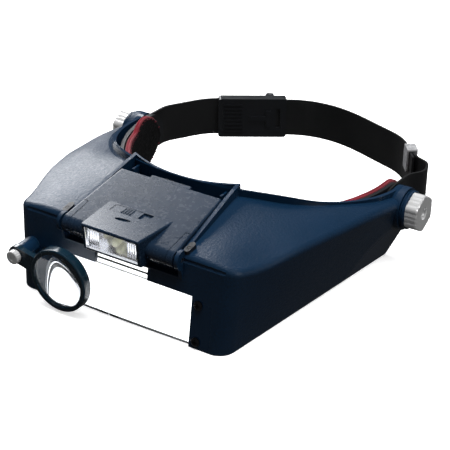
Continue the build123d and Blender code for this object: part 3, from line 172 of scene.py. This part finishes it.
# ---------------------------------------------------------------- materials
class Shader:
    """A Principled material with its procedural detail in object space, in metres."""

    def __init__(self, name, color, roughness, metallic=0.0, **values):
        self.material = bpy.data.materials.new(name)
        self.material.use_nodes = True
        self.tree = self.material.node_tree
        self.bsdf = self.tree.nodes["Principled BSDF"]
        self.place = self.tree.nodes.new("ShaderNodeTexCoord").outputs["Object"]
        self.color = color
        self.roughness = roughness
        self.height = None
        self.bsdf.inputs["Base Color"].default_value = (*color, 1)
        self.bsdf.inputs["Roughness"].default_value = roughness
        self.bsdf.inputs["Metallic"].default_value = metallic
        for key, value in values.items():
            self.bsdf.inputs[key.replace("_", " ")].default_value = value

    def link(self, a, b):
        self.tree.links.new(a, b)

    def math(self, operation, a, b=0.0):
        node = self.tree.nodes.new("ShaderNodeMath")
        node.operation = operation
        for socket, value in zip(node.inputs, (a, b)):
            if isinstance(value, (int, float)):
                socket.default_value = value
            else:
                self.link(value, socket)
        return node.outputs[0]

    def noise(self, scale, detail=2.0, rough=0.5, stretch=None):
        node = self.tree.nodes.new("ShaderNodeTexNoise")
        node.inputs["Scale"].default_value = scale
        node.inputs["Detail"].default_value = detail
        node.inputs["Roughness"].default_value = rough
        self.link(self.stretched(stretch), node.inputs["Vector"])
        return node.outputs["Fac"]

    def cells(self, scale, feature="F1"):
        node = self.tree.nodes.new("ShaderNodeTexVoronoi")
        node.feature = feature
        node.inputs["Scale"].default_value = scale
        self.link(self.place, node.inputs["Vector"])
        return node.outputs["Distance"]

    def stretched(self, stretch):
        if stretch is None:
            return self.place
        node = self.tree.nodes.new("ShaderNodeMapping")
        node.inputs["Scale"].default_value = stretch
        self.link(self.place, node.inputs["Vector"])
        return node.outputs["Vector"]

    def ramp(self, factor, low, high, start=0.3, end=0.7):
        node = self.tree.nodes.new("ShaderNodeMapRange")
        node.inputs["From Min"].default_value = start
        node.inputs["From Max"].default_value = end
        node.inputs["To Min"].default_value = low
        node.inputs["To Max"].default_value = high
        self.link(factor, node.inputs["Value"])
        return node.outputs["Result"]

    def axes(self):
        node = self.tree.nodes.new("ShaderNodeSeparateXYZ")
        self.link(self.place, node.inputs[0])
        return node.outputs

    def blend_color(self, factor, other):
        """Base colour from the material's own, at factor 0, to another, at factor 1."""
        node = self.tree.nodes.new("ShaderNodeMix")
        node.data_type = "RGBA"
        self.link(factor, node.inputs["Factor"])
        node.inputs["A"].default_value = (*self.color, 1)
        node.inputs["B"].default_value = (*other, 1)
        self.link(node.outputs["Result"], self.bsdf.inputs["Base Color"])

    def mottle(self, scale, amount, other=None):
        """Slow variation of colour and of roughness over the surface."""
        cloud = self.noise(scale, 3.0, 0.6)
        other = other or tuple(min(1.0, c * (1 + 4 * amount) + amount * 0.3) for c in self.color)
        self.blend_color(self.ramp(cloud, 0.0, 1.0), other)
        fine = self.noise(scale * 9, 3.0, 0.65)
        spread = 6 * amount
        low = max(0.02, self.roughness * (1 - spread))
        rough = self.ramp(fine, low, self.roughness * (1 + spread))
        self.link(rough, self.bsdf.inputs["Roughness"])

    def bump(self, height, distance, strength=1.0):
        node = self.tree.nodes.new("ShaderNodeBump")
        node.inputs["Distance"].default_value = distance
        if isinstance(strength, (int, float)):
            node.inputs["Strength"].default_value = strength
        else:
            self.link(strength, node.inputs["Strength"])
        self.link(height, node.inputs["Height"])
        if self.height is not None:
            self.link(self.height, node.inputs["Normal"])
        self.height = node.outputs["Normal"]
        self.link(self.height, self.bsdf.inputs["Normal"])


# Where the visor's plastic is smooth: inside the forehead rim's oval, and round the window.
RIM_OVAL = (0.0845, 0.0858)
SURROUND_HALF = 0.053
SURROUND_TOP = 0.033
SURROUND_DEEP = 0.009
FADE = 0.003


def pebbled_navy():
    """Navy ABS with a pebble grain, smooth on the forehead rim and round the window."""
    s = Shader("pebbled_navy", (0.0035, 0.016, 0.038), 0.44, Specular_IOR_Level=0.38)
    x, y, z = s.axes()
    reach_x = s.math("DIVIDE", x, RIM_OVAL[0])
    reach_y = s.math("DIVIDE", s.math("SUBTRACT", y, PIVOT_Y), RIM_OVAL[1])
    squares = s.math("ADD", s.math("POWER", reach_x, 2.0), s.math("POWER", reach_y, 2.0))
    reach = s.math("SQRT", squares)
    outside_rim = s.ramp(reach, 0.0, 1.0, 1.0, 1.012)
    beside = s.math("ABSOLUTE", x)
    across = s.ramp(beside, 0.0, 1.0, SURROUND_HALF, SURROUND_HALF + FADE)
    above = s.ramp(z, 0.0, 1.0, SURROUND_TOP, SURROUND_TOP + FADE)
    surround_end = FRONT_Y + SURROUND_DEEP
    behind = s.ramp(y, 0.0, 1.0, surround_end, surround_end + FADE / 2)
    off_window = s.math("MAXIMUM", s.math("MAXIMUM", across, above), behind)
    grain = s.math("MULTIPLY", outside_rim, off_window)
    s.mottle(22.0, 0.03, (0.005, 0.02, 0.047))
    rough = s.ramp(s.noise(800.0, 2.0), 0.36, 0.5)
    mixed = s.math("ADD", s.math("MULTIPLY", rough, grain), s.ramp(grain, 0.2, 0.0, 0.0, 1.0))
    s.link(mixed, s.bsdf.inputs["Roughness"])
    pebble = s.math("SUBTRACT", 1.0, s.cells(850.0, "SMOOTH_F1"))
    grit = s.math("MULTIPLY", s.noise(1900.0, 3.0, 0.6), 0.5)
    height = s.math("ADD", s.math("MULTIPLY", pebble, 0.7), grit)
    s.bump(height, 0.00028, s.math("MULTIPLY", grain, 0.6))
    s.bump(s.noise(260.0, 2.0), 0.0001, 0.25)
    return s.material


def satin_plastic(name, color, roughness, grain=0.000005, **values):
    s = Shader(name, color, roughness, **values)
    s.mottle(40.0, 0.025, tuple(min(1.0, c * 1.3) for c in color))
    s.bump(s.noise(2600.0, 2.0), grain, 0.5)
    s.bump(s.noise(60.0, 1.0), 0.00002, 0.12)
    return s.material


def clear_plastic(name, tint, roughness=0.015):
    s = Shader(name, tint, roughness, Transmission_Weight=1.0, IOR=1.49)
    smear = s.ramp(s.noise(70.0, 4.0, 0.7), roughness, roughness + 0.035, 0.5, 0.8)
    s.link(smear, s.bsdf.inputs["Roughness"])
    s.bump(s.noise(180.0, 1.0), 0.00002, 0.15)
    return s.material


def metal(name, color, roughness, metallic=1.0):
    s = Shader(name, color, roughness, metallic)
    s.mottle(120.0, 0.03)
    s.bump(s.noise(1500.0, 3.0, 0.7), 0.00002, 0.3)
    return s.material


def strap_black():
    """Smooth flexible strap with faint lengthwise draw lines."""
    s = Shader("strap_black", (0.008, 0.0085, 0.0095), 0.34, Specular_IOR_Level=0.45)
    s.mottle(30.0, 0.03, (0.013, 0.0135, 0.014))
    s.bump(s.noise(900.0, 2.0, 0.5, (0.06, 0.06, 1.0)), 0.00008, 0.35)
    s.bump(s.noise(2400.0, 2.0), 0.00002, 0.4)
    return s.material


def woven_cloth(name, color, other, sheen):
    """Woven cover: warp and weft ribs with fuzz."""
    s = Shader(name, color, 0.85, Sheen_Weight=sheen, Sheen_Roughness=0.5)
    x, y, z = s.axes()
    angle = s.math("ARCTAN2", x, s.math("SUBTRACT", y, PIVOT_Y))
    warp = s.math("SINE", s.math("MULTIPLY", angle, 760.0))
    weft = s.math("SINE", s.math("MULTIPLY", z, 9000.0))
    s.mottle(60.0, 0.04, other)
    s.bump(s.ramp(s.math("MULTIPLY", warp, weft), 0.0, 1.0, -1.0, 1.0), 0.00014, 0.6)
    s.bump(s.noise(700.0, 4.0, 0.7), 0.00015, 0.5)
    return s.material


def printed_board():
    s = Shader("printed_board", (0.02, 0.16, 0.06), 0.35)
    traces = s.ramp(s.cells(500.0), 0.0, 1.0, 0.1, 0.14)
    s.blend_color(traces, (0.03, 0.24, 0.09))
    return s.material


def cell_wrap():
    """Plain two-tone wrapper with a copper-coloured positive end."""
    s = Shader("cell_wrap", (0.03, 0.035, 0.04), 0.3, 0.3)
    band = s.ramp(s.math("ABSOLUTE", s.axes()[0]), 0.0, 1.0, 0.0135, 0.0138)
    s.blend_color(band, (0.55, 0.3, 0.12))
    s.bump(s.noise(500.0, 2.0), 0.00003, 0.3)
    return s.material


def mottled_clip():
    s = Shader("mottled_clip", (0.16, 0.165, 0.17), 0.5)
    s.mottle(600.0, 0.08, (0.42, 0.42, 0.43))
    s.bump(s.noise(1400.0, 3.0), 0.0001, 0.5)
    return s.material


def make_materials():
    slate = (0.007, 0.016, 0.032)
    cloth = woven_cloth("burgundy_cloth", (0.12, 0.006, 0.013), (0.17, 0.011, 0.02), 0.12)
    lining = woven_cloth("black_lining", (0.0025, 0.0025, 0.003), (0.006, 0.006, 0.007), 0.0)
    lamp_plastic = satin_plastic("lamp_slate", slate, 0.26, Specular_IOR_Level=0.42)
    return {
        "visor_plastic": pebbled_navy(),
        "lamp_plastic": lamp_plastic,
        "loupe_plastic": satin_plastic("loupe_teal", (0.004, 0.015, 0.026), 0.24),
        "clear_acrylic": clear_plastic("clear_acrylic", (0.93, 0.95, 0.975)),
        "lamp_clear": clear_plastic("lamp_clear", (0.95, 0.97, 1.0), 0.03),
        "black_plastic": satin_plastic("black_nylon", (0.008, 0.009, 0.011), 0.36),
        "strap_plastic": strap_black(),
        "pad_fabric": cloth,
        "pad_lining": lining,
        "pad_thread": satin_plastic("red_thread", (0.09, 0.012, 0.02), 0.6, 0.00006),
        "grey_plastic": satin_plastic("grey_lever", (0.42, 0.43, 0.45), 0.4),
        "clip_plastic": mottled_clip(),
        "chrome": metal("bright_chrome", (0.95, 0.955, 0.96), 0.2, 0.55),
        "steel": metal("plated_steel", (0.52, 0.53, 0.55), 0.28),
        "black_screw": metal("black_oxide", (0.05, 0.05, 0.055), 0.35),
        "brass": metal("turned_brass", (0.68, 0.46, 0.18), 0.3),
        "reflector_silver": metal("silvered", (0.88, 0.88, 0.9), 0.12),
        "led_lens": satin_plastic("led_epoxy", (0.9, 0.82, 0.5), 0.15),
        "board": printed_board(),
        "cell_wrap": cell_wrap(),
    }


def dress_cad_nodes(materials):
    """Every CAD node takes the material of its record slot."""
    slots = {part["node"]: part["material_slot"] for part in frame["record"]["subparts"]}
    for name, node in NODES.items():
        node.data.materials.clear()
        node.data.materials.append(materials[slots[name]])


# ---------------------------------------------------------------- forehead pad
PAD_THICK = 0.0036
PAD_HALF = 0.0119            # half the pad's height
PAD_TIP = 0.0002             # the same at its very ends
PAD_TAB_R = 0.016            # round tab at the right end
PAD_TAB_AHEAD = 0.013        # its centre, ahead of the pivots
PAD_BEHIND = 0.015           # the left end, behind the pivots
REST_TILT = radians(-1.8)    # the headband rests with its rear lower
TILT_REACH = 0.0004          # how far the tilt brings the pad's edge forward
PAD_X = PAD_HIGH.x - PAD_THICK / 2
PAD_FRONT = PIVOT_Y - PAD_LOW.y - PAD_THICK / 2 - TILT_REACH
TAB_Y = PIVOT_Y - PAD_TAB_AHEAD
LEFT_END_Y = PIVOT_Y + PAD_BEHIND - PAD_HALF
AT_REST = (Matrix.Translation((0, PIVOT_Y, PIVOT_Z)) @ Matrix.Rotation(REST_TILT, 4, "X")
           @ Matrix.Translation((0, -PIVOT_Y, -PIVOT_Z)))
OVAL_STEPS = 150
TAB_STEPS = 18
END_STEPS = 16
STRAIGHT_STEPS = 3
ROLL_POINTS = 56
SEAM_HALF = 0.00042
SEAM_DEPTH = 0.0011
LINING_POINTS = 40
LINING_INSET = 0.0011        # from the pad's edge to the lining's
LINING_PROUD = 0.00012
CHANNEL_PUFF = 0.00022
EDGE_ROLL = 0.00055
STITCH_SPACING = 0.0034
STITCH_REACH = 0.0011        # half a stitch's length
STITCH_R = 0.00022
STITCH_INSET = 0.0017        # from the pad's edge
STITCH_RINGS = 5
STITCH_SIDES = 6
STITCH_LEAST_HALF = 0.005    # no stitches where the pad is narrower than this


def pad_path():
    """(place, inward direction) along the pad's middle, from the right end round the front."""
    right = [TAB_Y + PAD_TAB_R * cos(pi / 2 * k / TAB_STEPS) for k in range(TAB_STEPS)]
    places = [Vector((-PAD_X, y)) for y in right if y > PIVOT_Y]
    for k in range(OVAL_STEPS + 1):
        turn = pi * k / OVAL_STEPS
        places.append(Vector((-PAD_X * cos(turn), PIVOT_Y - PAD_FRONT * sin(turn))))
    straight = PAD_BEHIND - PAD_HALF
    left = [PIVOT_Y + straight * k / STRAIGHT_STEPS for k in range(1, STRAIGHT_STEPS + 1)]
    left += [LEFT_END_Y + PAD_HALF * sin(pi / 2 * k / END_STEPS) for k in range(1, END_STEPS + 1)]
    places += [Vector((PAD_X, y)) for y in left]
    path = []
    for k, place in enumerate(places):
        along = places[min(k + 1, len(places) - 1)] - places[max(k - 1, 0)]
        path.append((place, Vector((-along.y, along.x)).normalized()))
    return path


def pad_half(place):
    """Half the pad's height at a place on its path."""
    if place.x > 0:
        past = max(0.0, place.y - LEFT_END_Y)
        return max(PAD_TIP, max(0.0, PAD_HALF**2 - past**2) ** 0.5)
    tab = max(0.0, PAD_TAB_R**2 - (place.y - TAB_Y)**2) ** 0.5
    return max(tab, PAD_TIP if place.y > TAB_Y else PAD_HALF)


def pad_place(station, inward, z):
    """Place in the row frame of a point given inward and up from a station on the pad's path."""
    place, inside = station
    flat = place + inside * inward
    return AT_REST @ Vector((flat.x, flat.y, PIVOT_Z + z))


def sweep_pad(name, loop, path, closed, material):
    """Mesh of a cross-section carried along the path; loop(half height, place) gives (inward, z)."""
    verts = []
    rings = []
    for station in path:
        points = loop(pad_half(station[0]), station[0])
        rings.append(range(len(verts), len(verts) + len(points)))
        verts += [pad_place(station, *point) for point in points]
    faces = []
    for low, high in zip(rings, rings[1:]):
        count = len(low)
        for k in range(count if closed else count - 1):
            j = (k + 1) % count
            faces.append((low[k], low[j], high[j], high[k]))
    if closed:
        faces += [tuple(reversed(rings[0])), tuple(rings[-1])]
    return add_piece(name, verts, faces, material)


def add_piece(name, verts, faces, material):
    """Smooth-shaded object with outward faces."""
    mesh = bpy.data.meshes.new(name)
    mesh.from_pydata(verts, [], faces)
    mesh.validate()
    work = bmesh.new()
    work.from_mesh(mesh)
    bmesh.ops.recalc_face_normals(work, faces=work.faces)
    work.to_mesh(mesh)
    work.free()
    for face in mesh.polygons:
        face.use_smooth = True
    mesh.materials.append(material)
    piece = bpy.data.objects.new(name, mesh)
    bpy.context.scene.collection.objects.link(piece)
    return piece


def sign(value):
    return 1 if value > 0 else -1


def rolled_section(half, place):
    """Two soft rolls side by side with a seam between them, along the top and bottom edge."""
    points = []
    for k in range(ROLL_POINTS):
        turn = 2 * pi * k / ROLL_POINTS
        c, s = cos(turn), sin(turn)
        through = PAD_THICK / 2 * sign(c) * abs(c) ** 0.55
        up = half * sign(s) * abs(s) ** 0.3
        seam = 1 / (1 + (through / SEAM_HALF) ** 2)
        up -= sign(s) * min(SEAM_DEPTH, half * 0.4) * seam
        lump = noise.noise(Vector((place.x * 160, place.y * 160, up * 90 + through * 200)))
        points.append((through * (1 + 0.05 * lump), up * (1 + 0.012 * lump)))
    return points


def lining_section(half, place):
    """Crowned lining with four shallow quilted channels."""
    edge = max(PAD_TIP / 2, half - LINING_INSET)
    points = []
    for k in range(LINING_POINTS + 1):
        share = -1 + 2 * k / LINING_POINTS
        puff = CHANNEL_PUFF * abs(cos(share * 2 * pi)) ** 0.5 - EDGE_ROLL * abs(share) ** 8
        puff += 0.00012 * noise.noise(Vector((place.x * 120, place.y * 120, share * 2)))
        points.append((PAD_THICK / 2 + LINING_PROUD + puff, share * edge))
    return points


def tube_faces(first, rings, sides):
    """Faces of a closed tube whose rings of points follow one another from a first index."""
    faces = []
    for ring in range(rings - 1):
        low = first + sides * ring
        for k in range(sides):
            j = (k + 1) % sides
            faces.append((low + k, low + j, low + sides + j, low + sides + k))
    last = first + sides * (rings - 1)
    return faces + [tuple(start + k for k in range(sides)) for start in (first, last)]


def make_stitches(path, material):
    """Thread stitches along both edges of the lining, one mesh."""
    verts = []
    faces = []
    travelled = STITCH_SPACING / 2
    for before, after in zip(path, path[1:]):
        step = after[0] - before[0]
        half = pad_half(before[0])
        travelled += step.length
        if travelled < STITCH_SPACING or half < STITCH_LEAST_HALF:
            continue
        travelled -= STITCH_SPACING
        along = step.normalized()
        for side in (1, -1):
            faces += tube_faces(len(verts), STITCH_RINGS, STITCH_SIDES)
            for ring in range(STITCH_RINGS):
                reach = 2 * ring / (STITCH_RINGS - 1) - 1
                radius = STITCH_R * (1.02 - reach**2) ** 0.5
                station = (before[0] + along * (reach * STITCH_REACH), before[1])
                for k in range(STITCH_SIDES):
                    turn = 2 * pi * k / STITCH_SIDES
                    inward = PAD_THICK / 2 + STITCH_R + radius * cos(turn)
                    up = side * (half - STITCH_INSET) + radius * sin(turn)
                    verts.append(pad_place(station, inward, up))
    return add_piece("pad_stitches", verts, faces, material)


def make_pad(materials):
    path = pad_path()
    cover = sweep_pad("pad_cover", rolled_section, path, True, materials["pad_fabric"])
    lining = sweep_pad("pad_lining", lining_section, path, False, materials["pad_lining"])
    stitches = make_stitches(path, materials["pad_thread"])
    for piece in (cover, lining, stitches):
        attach(piece, "headband")
    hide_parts("forehead_pad")


# ---------------------------------------------------------------- lamp window
RIB_COUNT = 4
RIB_PITCH = 0.0014
RIB_HALF = 0.0006
RIB_DEPTH = 0.0007
RIB_SIDE_GAP = 0.0022        # from the window's side to the first rib
RIB_END_GAP = 0.0016         # from its top and bottom
RIB_BEHIND = 0.0005
RIB_POINTS = 7


def make_window_ribs(material):
    """Upright light-spreading ribs behind both ends of the lamp window."""
    low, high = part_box("lamp_window")
    verts = []
    faces = []
    for side in (1, -1):
        for k in range(RIB_COUNT):
            x = side * (high.x - RIB_SIDE_GAP - RIB_PITCH * k)
            faces += tube_faces(len(verts), 2, RIB_POINTS)
            for z in (low.z + RIB_END_GAP, high.z - RIB_END_GAP):
                for step in range(RIB_POINTS):
                    turn = pi * step / (RIB_POINTS - 1)
                    y = high.y + RIB_BEHIND + RIB_DEPTH * sin(turn)
                    verts.append((x + RIB_HALF * cos(turn), y, z))
    ribs = add_piece("window_ribs", verts, faces, material)
    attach(ribs, "lamp")


# ---------------------------------------------------------------- scene
MATERIALS = make_materials()
make_camera()
make_world()
make_lights()
make_floor()
make_backdrop()
dress_cad_nodes(MATERIALS)
make_pad(MATERIALS)
make_window_ribs(MATERIALS["reflector_silver"])
